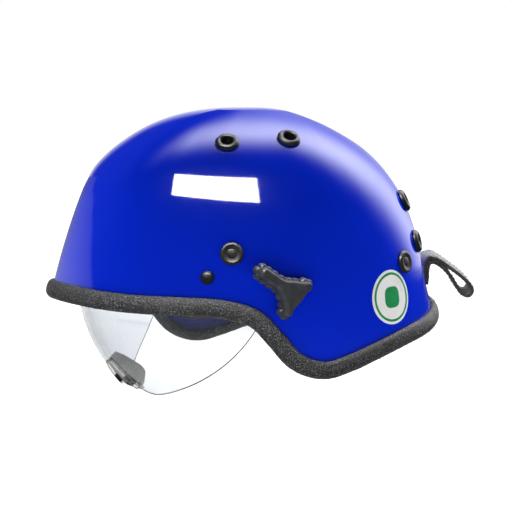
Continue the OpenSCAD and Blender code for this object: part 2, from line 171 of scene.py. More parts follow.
# ---------------------------------------------------------------- mesh helpers
def grid_faces(rows, columns, wrap_rows=False, wrap_columns=False, first=0):
    j, k = np.meshgrid(np.arange(rows if wrap_rows else rows - 1),
                       np.arange(columns if wrap_columns else columns - 1), indexing="ij")
    j, k = j.ravel(), k.ravel()
    j2, k2 = (j + 1) % rows, (k + 1) % columns
    corners = [j * columns + k, j * columns + k2, j2 * columns + k2, j2 * columns + k]
    return (np.stack(corners, 1) + first).tolist()


def ring_part(rings, closed=True):
    """A solid of rings of points: closed joins the last ring to the first, otherwise its ends are capped."""
    rings = np.asarray(rings, float)
    n, m = rings.shape[:2]
    faces = grid_faces(n, m, closed, True)
    if not closed:
        faces += [list(range(m)), [(n - 1) * m + k for k in range(m - 1, -1, -1)]]
    return rings.reshape(-1, 3), faces


def soften(points, size=0.4, steps=3, closed=True):
    """Rounds the corners of an outline, by at most size."""
    p = [np.array(q, float) for q in points]
    n = len(p)
    made = []
    for i, b in enumerate(p):
        if not closed and i in (0, n - 1):
            made.append(b)
            continue
        a, c = p[i - 1], p[(i + 1) % n]
        back, on = a - b, c - b
        cut = min(size, 0.45 * np.linalg.norm(back), 0.45 * np.linalg.norm(on))
        s, e = b + unit(back) * cut, b + unit(on) * cut
        made += [(1 - f) ** 2 * s + 2 * f * (1 - f) * b + f * f * e for f in np.linspace(0, 1, steps + 1)]
    return made


def lathe(profile, steps=64):
    """A turned solid about +Z from [radius, height] points; a profile that starts and ends on the axis is open."""
    p = np.array(profile, float)
    a = np.arange(steps) * 2 * math.pi / steps
    if p[0][0] > 1e-6:
        rings = np.stack([p[:, 0] * np.cos(a)[:, None], p[:, 0] * np.sin(a)[:, None],
                          np.broadcast_to(p[:, 1], (steps, len(p)))], -1)
        return ring_part(rings)
    inner = p[1:-1]
    m = len(inner)
    rings = np.stack([inner[:, 0] * np.cos(a)[:, None], inner[:, 0] * np.sin(a)[:, None],
                      np.broadcast_to(inner[:, 1], (steps, m))], -1).reshape(-1, 3)
    faces = grid_faces(steps, m, True, False, 2)
    for j in range(steps):
        k = (j + 1) % steps
        faces += [[0, 2 + k * m, 2 + j * m], [1, 2 + j * m + m - 1, 2 + k * m + m - 1]]
    return np.vstack([[0, 0, p[0][1]], [0, 0, p[-1][1]], rings]), faces


def turned(profile, size, top, steps):
    """A solid lathed from a profile that starts near the axis: its corners are rounded by size and it is closed
    on the axis at the profile's first height and at top."""
    rounded = soften(profile, size, closed=False)[1:]
    return lathe([[0, profile[0][1]]] + rounded + [[0, top]], steps)


def placed(part, origin, axes, mirror=False):
    """Moves a part from its own axes to a place; mirror sends it to the wearer's right."""
    verts = np.asarray(origin, float) + np.asarray(part[0], float) @ np.array(axes, float)
    if mirror:
        verts = verts * [-1, 1, 1]
    return verts, part[1]


def skin_axes(place):
    n = facing(*place)
    u = unit(np.cross([0, 0, 1.0], n))
    return [u, np.cross(n, u), n]


def both_skin(part, place):
    return [placed(part, skin(*place), skin_axes(place), m) for m in (False, True)]


def piece(name, parts, mats, body, replaces=(), which=None, sharp=38, tidy=True):
    """Makes one object of parts (points in mm, faces); which gives each part's, or each face's, material."""
    mats = mats if isinstance(mats, list) else [mats]
    verts, faces, index = [], [], []
    first = 0
    for i, (v, f) in enumerate(parts):
        v = np.asarray(v, float)
        verts.append(v)
        faces += [[a + first for a in face] for face in f]
        own = 0 if which is None else which[i]
        index += [own] * len(f) if np.isscalar(own) else list(own)
        first += len(v)
    mesh = bpy.data.meshes.new(name)
    mesh.from_pydata((np.vstack(verts) * MM).tolist(), [], faces)
    for m in mats:
        mesh.materials.append(m)
    mesh.polygons.foreach_set("material_index", index)
    if tidy:
        bm = bmesh.new()
        bm.from_mesh(mesh)
        bmesh.ops.recalc_face_normals(bm, faces=bm.faces)
        bm.to_mesh(mesh)
        bm.free()
    mesh.polygons.foreach_set("use_smooth", [True] * len(mesh.polygons))
    if sharp:
        mesh.set_sharp_from_angle(angle=math.radians(sharp))
    mesh.update()
    obj = bpy.data.objects.new(name, mesh)
    scene.collection.objects.link(obj)
    if body:
        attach(obj, body)
    if replaces:
        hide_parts(*replaces)
    return obj


def coords_of(mesh):
    co = np.zeros(len(mesh.vertices) * 3)
    mesh.vertices.foreach_get("co", co)
    return co.reshape(-1, 3)


def normals_of(mesh):
    n = np.zeros(len(mesh.vertices) * 3)
    mesh.vertices.foreach_get("normal", n)
    return n.reshape(-1, 3)


def set_coords(mesh, co):
    mesh.vertices.foreach_set("co", np.asarray(co, float).ravel())
    mesh.update()


def roughen(obj, size, height):
    """Small real unevenness: moves each point along its normal by smooth noise, both in mm."""
    co, n = coords_of(obj.data), normals_of(obj.data)
    lift = np.array([noise.noise(Vector(p) / (size * MM)) for p in co])
    set_coords(obj.data, co + n * (lift * height * MM)[:, None])


def curve_through(points, step):
    """A smooth line through points, with its points about a step apart."""
    p = np.array(points, float)
    ext = np.vstack([2 * p[0] - p[1], p, 2 * p[-1] - p[-2]])
    fine = []
    for i in range(len(p) - 1):
        f = np.linspace(0, 1, 24, endpoint=False)[:, None]
        a, b = ext[i + 1], ext[i + 2]
        fine.append(hermite(a, b, (b - ext[i]) / 2, (ext[i + 3] - a) / 2, f))
    fine = np.vstack(fine + [p[-1:]])
    run = np.r_[0, np.cumsum(np.linalg.norm(np.diff(fine, axis=0), axis=1))]
    at = np.linspace(0, run[-1], max(2, int(round(run[-1] / step)) + 1))
    return np.stack([np.interp(at, run, fine[:, k]) for k in range(p.shape[1])], 1), at


def rod(points, radius, sides=10, step=1.0):
    """A round bar along a line of points, with ends drawn in."""
    line, run = curve_through(points, step)
    tangent = unit(np.gradient(line, axis=0))
    up = np.array([0.13, 0.21, 0.97])
    u = unit(np.cross(tangent, up))
    v = np.cross(tangent, u)
    a = np.arange(sides) * 2 * math.pi / sides
    end = np.minimum(run, run[-1] - run)
    r = radius * np.sqrt(np.clip(1 - (1 - np.minimum(end / radius, 1)) ** 2, 0.02, 1))
    spoke = np.cos(a)[None, :, None] * u[:, None] + np.sin(a)[None, :, None] * v[:, None]
    return ring_part(line[:, None] + r[:, None, None] * spoke, closed=False)


def bead(radius, steps=8):
    """A small rounded lump about the origin: radius gives its three half sizes."""
    a = np.linspace(0, math.pi, steps)
    v, f = lathe([[0, 1]] + [[math.sin(q), math.cos(q)] for q in a[1:-1]] + [[0, -1]], steps * 2)
    return v * np.array(radius, float), f


# ---------------------------------------------------------------- materials
def srgb(r, g, b):
    def linear(v):
        v /= 255
        return v / 12.92 if v <= 0.04045 else ((v + 0.055) / 1.055) ** 2.4
    return (linear(r), linear(g), linear(b), 1)


def texture(nodes, kind, scale, detail=3.0):
    if kind == "noise":
        t = nodes.new("ShaderNodeTexNoise")
        t.inputs["Detail"].default_value = detail
        out = t.outputs["Fac"]
    elif kind == "cells":
        t = nodes.new("ShaderNodeTexVoronoi")
        out = t.outputs["Distance"]
    else:
        t = nodes.new("ShaderNodeTexVoronoi")
        t.feature = "DISTANCE_TO_EDGE"
        out = t.outputs["Distance"]
    t.inputs["Scale"].default_value = scale
    return t, out


def map_range(nodes, links, value, **spans):
    """A node that moves value from one span to another, such as To_Min=0.3."""
    node = nodes.new("ShaderNodeMapRange")
    for key, number in spans.items():
        node.inputs[key.replace("_", " ")].default_value = number
    links.new(value, node.inputs["Value"])
    return node


def material(name, stops, pattern, rough=(0.4, 0.5), bump=None, wear=60, **uniform):
    """Colour from a pattern (kind, scale) through stops [(place, colour)], roughness that varies over
    the surface, and bump (kind, scale, height in mm). uniform sets sockets of the shader."""
    mat = bpy.data.materials.new(name)
    mat.use_nodes = True
    nodes, links = mat.node_tree.nodes, mat.node_tree.links
    shader = nodes["Principled BSDF"]
    coords = nodes.new("ShaderNodeTexCoord")
    t, out = texture(nodes, *pattern)
    links.new(coords.outputs["Object"], t.inputs["Vector"])
    ramp = nodes.new("ShaderNodeValToRGB")
    while len(ramp.color_ramp.elements) < len(stops):
        ramp.color_ramp.elements.new(0.5)
    for element, (place, colour) in zip(ramp.color_ramp.elements, stops):
        element.position = place
        element.color = colour
    links.new(out, ramp.inputs["Fac"])
    links.new(ramp.outputs["Color"], shader.inputs["Base Color"])
    w, worn = texture(nodes, "noise", wear)
    links.new(coords.outputs["Object"], w.inputs["Vector"])
    span = map_range(nodes, links, worn, From_Min=0.3, From_Max=0.7, To_Min=rough[0], To_Max=rough[1])
    links.new(span.outputs["Result"], shader.inputs["Roughness"])
    if bump:
        b, height = texture(nodes, *bump[:2])
        links.new(coords.outputs["Object"], b.inputs["Vector"])
        node = nodes.new("ShaderNodeBump")
        node.inputs["Distance"].default_value = bump[2] * MM
        node.inputs["Strength"].default_value = 1.0
        links.new(height, node.inputs["Height"])
        links.new(node.outputs["Normal"], shader.inputs["Normal"])
    for key, value in uniform.items():
        shader.inputs[key.replace("_", " ")].default_value = value
    return mat


def near(colour, spread=0.12):
    """Two stops a little darker and lighter than a colour."""
    r, g, b = colour
    return [(0.35, srgb(r * (1 - spread), g * (1 - spread), b * (1 - spread))),
            (0.65, srgb(min(255, r * (1 + spread)), min(255, g * (1 + spread)), min(255, b * (1 + spread))))]


blue = material("shell_blue", near((4, 42, 214), 0.03), ("noise", 9), (0.04, 0.07), ("noise", 26, 0.02))
inside_blue = material("shell_inside", near((20, 34, 120), 0.1), ("noise", 60), (0.35, 0.5), ("noise", 400, 0.1))
# Dark grey rubber with random lighter grains; the light grey top stop is painted glints: it reads the same noise
# as the bump, so it sits on the bump tops.
trim_rubber = material("trim_rubber", [(0.34, srgb(20, 20, 22)), (0.56, srgb(58, 58, 60)),
                                       (0.72, srgb(150, 150, 153))],
                       ("noise", 1150), (0.4, 0.6), ("noise", 1150, 0.9))
black = material("black_plastic", near((26, 27, 29), 0.25), ("noise", 300), (0.28, 0.42), ("noise", 900, 0.06))
satin = material("cap_plastic", near((38, 38, 40), 0.2), ("noise", 250), (0.3, 0.42), ("noise", 1200, 0.05))
slate = material("knob_plastic", near((58, 60, 66), 0.14), ("noise", 220), (0.36, 0.5), ("noise", 1500, 0.06))
steel = material("steel", near((165, 168, 172), 0.1), ("noise", 500), (0.2, 0.36), ("noise", 1500, 0.03),
                 Metallic=1.0)
nylon = material("washer_nylon", near((214, 212, 204), 0.05), ("noise", 200), (0.4, 0.55), ("noise", 900, 0.05))
foam = material("liner_foam", [(0.05, srgb(44, 45, 49)), (0.5, srgb(72, 74, 79))], ("cells", 260), (0.7, 0.85),
                ("cells", 260, 0.5))
band = material("band_plastic", near((34, 36, 40), 0.2), ("noise", 180), (0.35, 0.5), ("noise", 700, 0.08))
webbing = material("webbing", [(0.3, srgb(12, 13, 16)), (0.7, srgb(40, 42, 47))], ("noise", 1600), (0.7, 0.85),
                   ("edge", 1300, 0.5))
mesh_cloth = material("mesh_cloth", [(0.02, srgb(14, 30, 44)), (0.3, srgb(46, 84, 98))], ("edge", 620), (0.6, 0.8),
                      ("edge", 620, 0.9), Sheen_Weight=0.3)
leather = material("leather", [(0.02, srgb(38, 36, 35)), (0.35, srgb(90, 85, 82))], ("edge", 520), (0.5, 0.68),
                   ("edge", 520, 0.5))
towel = material("brow_fabric", [(0.25, srgb(36, 40, 46)), (0.75, srgb(78, 84, 92))], ("noise", 1400), (0.8, 0.95),
                 ("cells", 1100, 0.8), Sheen_Weight=0.4)
piping = material("piping", near((168, 177, 182), 0.12), ("noise", 900), (0.35, 0.5), ("noise", 1800, 0.3))
thread = material("thread", near((112, 104, 96), 0.2), ("noise", 2200), (0.6, 0.8), ("noise", 2600, 0.2))
strap_face = material("strap_leather", [(0.3, srgb(122, 122, 124)), (0.7, srgb(160, 160, 162))], ("noise", 700),
                      (0.42, 0.6), ("edge", 900, 0.25))
strap_edge = material("strap_edge", [(0.3, srgb(28, 22, 19)), (0.7, srgb(74, 60, 52))], ("noise", 900), (0.7, 0.9),
                      ("noise", 1400, 0.5))
vinyl = material("badge_vinyl", near((246, 247, 245), 0.02), ("noise", 60), (0.25, 0.35), ("noise", 400, 0.02))
green = material("badge_green", near((16, 150, 84), 0.06), ("noise", 90), (0.28, 0.38), ("noise", 500, 0.02))
lens = material("clear_lens", near((232, 235, 238), 0.01), ("noise", 20), (0.01, 0.03), ("noise", 12, 0.02),
                Transmission_Weight=1.0, IOR=1.42)
soft_clear = material("soft_clear", near((236, 235, 233), 0.03), ("noise", 160), (0.2, 0.34), ("noise", 700, 0.12),
                      Transmission_Weight=0.8, IOR=1.4)

frosted = material("frosted_pad", near((222, 219, 214), 0.04), ("noise", 160), (0.3, 0.45), ("noise", 900, 0.1),
                   Transmission_Weight=0.3, IOR=1.4)


# ---------------------------------------------------------------- shell, trim, vents and rivets
def holed_wall(outer, inner, pole_out, pole_in, axes, radius):
    """A wall of two skins with the same grid, round holes and a closed foot. axes: [(point, direction, reach)]."""
    n, m = outer.shape[:2]
    count = n * m
    o, i = outer.reshape(-1, 3).copy(), inner.reshape(-1, 3).copy()
    faces = np.array(grid_faces(n, m, True, False))
    middle = (o[faces].mean(1) + i[faces].mean(1)) / 2

    def off_axis(points, point, way):
        d = points - point
        return d - (d @ way)[:, None] * way
    keep = np.ones(len(faces), bool)
    for point, way, reach in axes:
        keep &= ~((np.linalg.norm(off_axis(middle, point, way), axis=1) < radius + 0.3)
                  & (np.linalg.norm(middle - point, axis=1) < reach))
    faces = faces[keep]
    fan = [[count * 2, (j * m), ((j + 1) % n) * m] for j in range(n)]
    every = faces.tolist() + fan
    edges = {}
    for f in every:
        for a, b in zip(f, f[1:] + f[:1]):
            edges[(a, b)] = True
    border = [(a, b) for a, b in edges if (b, a) not in edges]
    last = m - 1
    hole = np.array(sorted({a for e in border for a in e if a % m != last}), int)
    for skin_points in (o, i):
        for point, way, reach in axes:
            near_it = hole[(np.linalg.norm(skin_points[hole] - point, axis=1) < reach)]
            off = off_axis(skin_points[near_it], point, way)
            size = np.linalg.norm(off, axis=1)
            ok = size < radius + 6
            skin_points[near_it[ok]] += (off * (radius / np.maximum(size, 1e-6) - 1)[:, None])[ok]
    verts = np.vstack([o, i, pole_out, pole_in])
    flip = [[a + count if a < count else count * 2 + 1 for a in f[::-1]] for f in every]
    walls = [[b, a, a + count, b + count] for a, b in border]
    return (verts, every + flip + walls), (len(every), len(flip), len(walls))


def vent_axes(places, lift, reach):
    made = []
    for p in places:
        for side in (1, -1):
            mirror = np.array([side, 1, 1])
            made.append(((skin(*p) - lift * facing(*p)) * mirror, facing(*p) * mirror, reach))
    return made


def build_shell():
    rounds, rows = 300, 96
    th = np.arange(rounds) * 360 / rounds
    edge = rim_level(th)
    k = np.arange(1, rows + 1) / rows
    level = edge[:, None] * k
    b = np.broadcast_to(th[:, None], level.shape)

    def to_the_edge(points, out):
        return np.concatenate([points] + [rim_at(th, down, out)[:, None] for down in (4.2, 8.4)], 1)
    outer, inner = to_the_edge(skin(b, level), 0), to_the_edge(under(b, level, WALL), -WALL)
    top = skin(0, 0)
    part, (a, c, d) = holed_wall(outer, inner, top, top - [0, 0, WALL], vent_axes(VENTS, 0, 12), 6.1)
    piece("shell_wall", [part], [blue, inside_blue], "helmet", ["shell"],
          [[0] * a + [1] * c + [0] * d], sharp=40)


TRIM_SECTION = [[0, .12], [-.3, 1.7], [1.4, 3.5], [5, 4.2], [9, 3.6], [11.6, 1.2], [12, -1.5], [11.4, -4.4],
                [9.6, -6.2], [7, -6.4], [5.2, -5.8], [4.4, -4.6], [4.7, -3.12], [8.6, -3.12], [8.6, .12]]


def build_trim():
    rounds = 900
    th = np.arange(rounds) * 360 / rounds
    curved, _ = curve_through(TRIM_SECTION[:13], 0.75)
    section = np.vstack([curved, TRIM_SECTION[13:]])
    rings = np.stack([rim_at(th, down, out) for down, out in section], 1)
    obj = piece("edge_trim_rubber", [ring_part(rings)], trim_rubber, "helmet", ["edge_trim"],
                sharp=60)
    roughen(obj, 1.3, 0.34)


def build_vents():
    eyelet = lathe(soften([[4, -5.9], [5.9, -5.9], [5.9, .15], [8.25, .15], [8.1, 1.3], [7, 2.8], [5.8, 3.3],
                           [4.6, 2.9], [4, 1.8]], 0.7), 72)
    piece("vent_eyelet", [q for v in VENTS for q in both_skin(eyelet, v)], black, "helmet",
          ["vent_eyelets"])
    ring = lathe(soften([[6, -5.7], [8.2, -5.7], [8.2, -4.3], [6, -4.3]], 0.4), 64)
    piece("eyelet_ring", [q for v in VENTS for q in both_skin(ring, v)], black, "helmet",
          ["eyelet_rings"])


def build_rivets():
    def cap(shank):
        return turned([[0.01, -shank], [2.9, -shank], [2.9, .2], [7.85, .2], [7.85, 1.6], [7.2, 2.6], [6, 2.9],
                       [5.2, 2.6], [3.2, 2.2], [2.8, 2.5], [1.2, 2.7]], 0.5, 2.75, 72)
    piece("rivet_cap", both_skin(cap(6.6), FRONT_CAP) + both_skin(cap(10), REAR_CAP), satin, "helmet",
          ["harness_caps"])
    small = turned([[0.01, -6.4], [1.9, -6.4], [1.9, .2], [4.65, .2], [4.5, 1.2], [3.4, 2.2], [1.8, 2.7]],
                   0.5, 2.9, 56)
    piece("guide_cap", both_skin(small, SMALL_CAP), black, "helmet", ["guide_caps"])


def build_badge():
    def disc(r_in, r_out, lift, steps=96, rows=10, squarish=None):
        """A thin plate on the shell between two radii, closed at its edge down to the skin."""
        a = np.arange(steps) * 2 * math.pi / steps
        grow = 1
        if squarish:
            grow = 1 / (np.abs(np.cos(a)) ** squarish + np.abs(np.sin(a)) ** squarish) ** (1 / squarish)

        def at(r, up):
            t = BADGE[1] - r * grow * np.sin(a) / 20.8
            th = BADGE[0] + r * grow * np.cos(a) / 2.06
            return skin(th, t) + up * facing(th, t)
        radii = np.linspace(r_in, r_out, rows)
        rings = [at(r, lift) for r in radii[:-1]]
        rings += [at(r_out - 0.12, lift), at(r_out, lift - 0.08), at(r_out, 0.05), at(max(r_in, 0.2), 0.05)]
        return ring_part(np.stack(rings, 1))
    piece("badge_disc", [disc(0.2, 19, 0.45)], vinyl, "helmet", ["badge"], sharp=50)
    piece("badge_ring", [disc(15.6, 17.2, 0.6), disc(0.2, 7.4, 0.6, squarish=3.2)], green, "helmet",
          sharp=50)


# ---------------------------------------------------------------- pivot knobs
KNOB_BACK = 118.8
ARMS = [[146, 30, 5.6], [22, 16, 4.8], [253, 18, 4.8]]


def knob_depth(x, y, blend=5.0, grow=0.0):
    """Signed distance to the knob's outline, less than 0 inside, with webs between the arms."""
    d = np.hypot(x, y) - 8.6
    for angle, length, half in ARMS:
        q = math.radians(angle)
        reach = length - half
        along = np.clip(x * math.cos(q) + y * math.sin(q), 0, reach)
        arm = np.hypot(x - along * math.cos(q), y - along * math.sin(q)) - half
        h = np.clip(0.5 + 0.5 * (arm - d) / blend, 0, 1)
        d = arm * (1 - h) + d * h - blend * h * (1 - h)
    return d - grow


def knob_reach(a, blend, grow):
    """How far the outline, moved out by grow, is from the middle at angles a."""
    low, high = np.zeros_like(a), np.full_like(a, 40.0)
    for _ in range(30):
        mid = (low + high) / 2
        inside = knob_depth(mid * np.cos(a), mid * np.sin(a), blend, grow) < 0
        low, high = np.where(inside, mid, low), np.where(inside, high, mid)
    return low


def knob_outline(grow, count, blend=5.0):
    """Points at equal steps along the outline moved out by grow, with their outward directions."""
    a = np.linspace(0, 2 * math.pi, 2880, endpoint=False)
    reach = knob_reach(a, blend, grow)
    ring = np.stack([reach * np.cos(a), reach * np.sin(a)], 1)
    loop = np.vstack([ring, ring[:1]])
    run = np.r_[0, np.cumsum(np.linalg.norm(np.diff(loop, axis=0), axis=1))]
    at = np.arange(count) * run[-1] / count
    p = np.stack([np.interp(at, run, loop[:, k]) for k in (0, 1)], 1)
    t = unit(np.roll(p, -1, 0) - np.roll(p, 1, 0))
    return p, np.stack([t[:, 1], -t[:, 0]], 1), at, run[-1]


def knob_parts():
    # Lower body: a scalloped wall of round beads, with a rounded top and foot
    count = 720
    p, out, at, length = knob_outline(-0.7, count)
    beads = round(length / 5.4)
    bump = np.sqrt(np.clip(1 - (2 * np.mod(at * beads / length, 1) - 1) ** 2, 0, 1)) * 2.0 - 0.6
    rings = []
    for high, share, inset in [(0.2, 0.6, 0.5), (0.7, 1, 0), (3.4, 1, 0), (4.6, 0.92, 0.15), (5.5, 0.68, 0.55),
                               (6.0, 0.35, 1.3), (6.1, 0.1, 2.3)]:
        xy = p + out * (bump * share - inset)[:, None]
        rings.append(np.column_stack([xy, np.full(count, high)]))
    rings = np.stack(rings, 1)
    m = rings.shape[1]
    lower = (rings.reshape(-1, 3), grid_faces(count, m, True, False)
             + [[j * m for j in range(count)], [j * m + m - 1 for j in range(count - 1, -1, -1)]])
    # Upper body: a raised Y with rounded edges and a dished web
    spokes, rows = 720, 44
    a = np.arange(spokes) * 2 * math.pi / spokes
    low = knob_reach(a, 7.0, -1.5)
    s = np.sin(np.linspace(0.03, 1, rows) * math.pi / 2)
    x, y = low[:, None] * s * np.cos(a)[:, None], low[:, None] * s * np.sin(a)[:, None]
    deep = np.clip(-knob_depth(x, y, 7.0, -1.5), 0, None)
    round_over = np.sqrt(np.clip(1 - (1 - np.minimum(deep / 2.6, 1)) ** 2, 0, 1))
    dish = 0.9 * np.exp(-(x**2 + y**2) / 60)
    tall = 6.2 + 4.6 * round_over - dish
    top = np.stack([x, y, tall], -1)
    foot = np.column_stack([low * np.cos(a), low * np.sin(a), np.full(spokes, 5.4)])[:, None]
    skirt = np.concatenate([top, foot], 1)
    m = rows + 1
    verts = np.vstack([skirt.reshape(-1, 3), [[0, 0, tall[:, 0].mean()]]])
    upper = (verts, grid_faces(spokes, m, True, False)
             + [[spokes * m, j * m, ((j + 1) % spokes) * m] for j in range(spokes)]
             + [[j * m + m - 1 for j in range(spokes - 1, -1, -1)]])
    return [lower, upper]


# What is drawn flat stands on the side: its X along +Y, its Y along +Z
SIDEWAYS = [[0, 1, 0], [0, 0, 1], [1, 0, 0]]


def build_knobs():
    parts = knob_parts()
    for side, mirror in (("left", False), ("right", True)):
        put = [placed(q, [KNOB_BACK, PIVOT_Y, PIVOT_Z], SIDEWAYS, mirror) for q in parts]
        piece(f"{side}_knob_grip", put, slate, f"{side}_clamp", [f"{side}_knob"], sharp=52)


# ---------------------------------------------------------------- visor
VISOR_HALF, VISOR_R, VISOR_WALL, POWER = 99, 101, 2.2, 2.1
TOP_ANGLE = -8
PER_RADIAN = 57.3  # degrees


def visor_low(x):
    return 53 + 16 * (np.abs(x) / 106) ** 3 - 19 * np.exp(-((x / 14) ** 2))


def about_pivot(x, rho, down):
    q = np.radians(down)
    return np.stack(np.broadcast_arrays(x, PIVOT_Y - rho * np.cos(q), PIVOT_Z - rho * np.sin(q)), -1)


def lens_x(q, inset):
    return (VISOR_HALF - inset) * np.sign(np.sin(q)) * np.abs(np.sin(q)) ** (2 / POWER)


def lens_rho(q, inset):
    return (VISOR_R - inset) * np.abs(np.cos(q)) ** (2 / POWER)


def build_lens():
    steps, rows = 220, 60
    q = np.radians(np.linspace(-83, 83, steps + 1))
    low = visor_low(lens_x(q, 0))[:, None]
    f = np.linspace(0, 1, rows + 1)
    angle = TOP_ANGLE + f * (low - TOP_ANGLE)

    def side(inset, ease):
        a = np.clip(angle, TOP_ANGLE + ease, low - ease)
        return about_pivot(lens_x(q, inset)[:, None], lens_rho(q, inset)[:, None], a)
    round_by = 0.35
    outer = np.concatenate([side(round_by, 0)[:, :1], side(0, 0.2), side(round_by, 0)[:, -1:]], 1)
    inner = np.concatenate([side(VISOR_WALL - round_by, 0)[:, :1], side(VISOR_WALL, 0.2),
                            side(VISOR_WALL - round_by, 0)[:, -1:]], 1)
    rings = np.concatenate([outer, inner[:, ::-1]], 1)
    parts = [ring_part(rings, closed=False)]
    lug = lathe(soften([[4.06, 0], [14, 0], [14, 2.2], [4.06, 2.2]], 0.35), 96)
    for mirror in (False, True):
        parts.append(placed(lug, [96.2, PIVOT_Y, PIVOT_Z], SIDEWAYS, mirror))
    piece("visor_sheet", parts, lens, "visor", ["visor_lens"], sharp=50)


def build_nose_piece():
    reach = 16
    x = np.linspace(-reach, reach, 181)
    q = np.arcsin((np.abs(x) / VISOR_HALF) ** (POWER / 2)) * np.sign(x)
    rho, low = lens_rho(q, 0), visor_low(x)
    parts = []
    # Two bars along the notch, in front of the lens and behind it, and one along its edge
    for radius, out, drop in ((1.15, 1.0, -1.2), (1.15, -2.9, -1.2), (1.3, -1.0, 1.2), (0.7, -3.4, 1.9)):
        line = about_pivot(x, rho + out, low + drop / rho * PER_RADIAN)
        parts.append(rod(line[::10], radius, 12, 0.8))
    # The pad behind: a ribbed flange that widens towards its feet
    f = np.abs(x) / reach
    run = np.r_[0, np.cumsum(np.hypot(np.diff(x), np.diff(rho * np.radians(low))))]
    rib = 0.5 * np.cos(2 * math.pi * (run - run[90]) / 2.4)
    wide = (5 + 8 * f) * np.sqrt(np.clip(1 - f**8, 0.02, 1))
    upper = [(0, 1), (0.3, 1.05), (0.6, 1.0), (0.85, 0.8), (1, 0.3)]
    section = upper + [(s, -t) for s, t in upper[::-1]]
    rings = []
    for j in range(len(x)):
        ring = []
        for s, t in section:
            thick = (0.95 + rib[j] * (1 if 0 < s < 1 else 0.3)) * t
            inward = 2.8 + wide[j] * s
            drop = -(1.2 + 0.28 * wide[j] * s) + thick
            down = low[j] + drop / rho[j] * PER_RADIAN
            ring.append(about_pivot(x[j] * (1 + 0.0012 * inward * 6), rho[j] - inward, down))
        rings.append(ring)
    piece("nose_pad", [ring_part(np.array(rings), closed=False)], frosted, "visor", sharp=60)
    stops = []
    for sign in (1, -1):
        at = np.linspace(8.5, 12.5, 5) * sign
        stops.append(rod(about_pivot(at, VISOR_R + 0.4, visor_low(at) + 1.2), 1.35, 12, 0.5))
    piece("nose_stop_bars", stops, black, "visor", ["nose_stops"])
    piece("nose_rest", parts, soft_clear, "visor", ["nose_piece"], sharp=60)


# ---------------------------------------------------------------- rear strap
STRAP_ROUTE = [[122.6, -14.5], [125, -12.5], [127.4, -8], [128.8, -2], [129.4, 4], [130.8, 8.6], [134, 11.2],
               [139, 11.4], [144.5, 8.5], [152, 3.1], [159.4, -2.5], [165.2, -8.2], [167.2, -12.8], [164.6, -16.4],
               [160, -15.2], [156.2, -10.8], [153.2, -5.6], [149.8, -0.6], [146, 3.6], [142.4, 6.5], [138.6, 8.5],
               [135.4, 8.2], [133.2, 5.4], [132.1, 0], [131.6, -5], [130.9, -9.5]]
STRAP_T = 2.5


def twisted(points):
    """The free end hangs a little askew: it turns about the upright and rolls towards the wearer's left."""
    p = np.array(points, float)
    ease = np.clip((p[..., 1] - 129.5) / 9, 0, 1) * np.clip((p[..., 2] + 14) / 14, 0, 1) ** 0.5
    ease = np.where(p[..., 1] > 136, 1, ease)
    yaw, roll = np.radians(-15) * ease, np.radians(13) * ease
    x, y, z = p[..., 0].copy(), p[..., 1] - 130, p[..., 2] - 10
    x, z = x * np.cos(roll), z - x * np.sin(roll)
    return np.stack([x * np.cos(yaw) - y * np.sin(yaw), 130 + x * np.sin(yaw) + y * np.cos(yaw), 10 + z], -1)


def build_strap():
    line, run = curve_through(STRAP_ROUTE, 0.9)
    along = unit(np.gradient(line, axis=0))
    out = np.stack([-along[:, 1], along[:, 0]], 1)
    w, t = 9.5, STRAP_T / 2
    # Across: a rounded face, then a cut edge with a groove between its two layers
    half = [[-w + 0.7, t], [0, t + 0.12], [w - 0.7, t], [w - 0.15, t - 0.25], [w, t - 0.7], [w, 0.3],
            [w - 0.35, 0]]
    section = [[-w + 0.15, t - 0.25]] + half + [[x, -z] for x, z in half[:-1][::-1]] + [
        [-w + 0.15, -t + 0.25], [-w, -t + 0.7], [-w, -0.3], [-w + 0.35, 0], [-w, 0.3], [-w, t - 0.7]]
    section = np.array(section, float)
    rings = np.stack([np.stack([np.full(len(line), s[0]), line[:, 0] + s[1] * out[:, 0],
                                line[:, 1] + s[1] * out[:, 1]], 1) for s in section], 1)
    part = ring_part(twisted(rings), closed=False)
    m = len(section)
    centre = (section + np.roll(section, -1, 0)) / 2
    is_edge = (np.abs(centre[:, 0]) > w - 0.5).astype(int)
    index = np.tile(is_edge, len(line) - 1).tolist() + [1, 1]
    obj = piece("rear_strap", [part], [strap_face, strap_edge], None,
                ["strap_base", "strap_flap"], [index], sharp=45)
    # Two rows of stitches near each edge, on both faces
    stitches = []
    for s in np.arange(14, run[-1] - 3, 3.1):
        k = int(np.searchsorted(run, s))
        a, n = along[k], out[k]
        for x in (-7.4, 7.4):
            for face in (1, -1):
                mid = [x, line[k, 0] + face * n[0] * t, line[k, 1] + face * n[1] * t]
                v, f = placed(bead([0.4, 1.15, 0.42], 6), mid, [[1, 0, 0], [0, *a], [0, *n]])
                stitches.append((twisted(v), f))
    sewn = piece("strap_stitches", stitches, thread, None, sharp=None)
    for o in (obj, sewn):
        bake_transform(o)


# ---------------------------------------------------------------- soft goods
def finished(obj):
    """Replaces an object's mesh with what its modifiers make of it."""
    made = bpy.data.meshes.new_from_object(obj.evaluated_get(bpy.context.evaluated_depsgraph_get()))
    obj.modifiers.clear()
    old = obj.data
    obj.data = made
    bpy.data.meshes.remove(old)


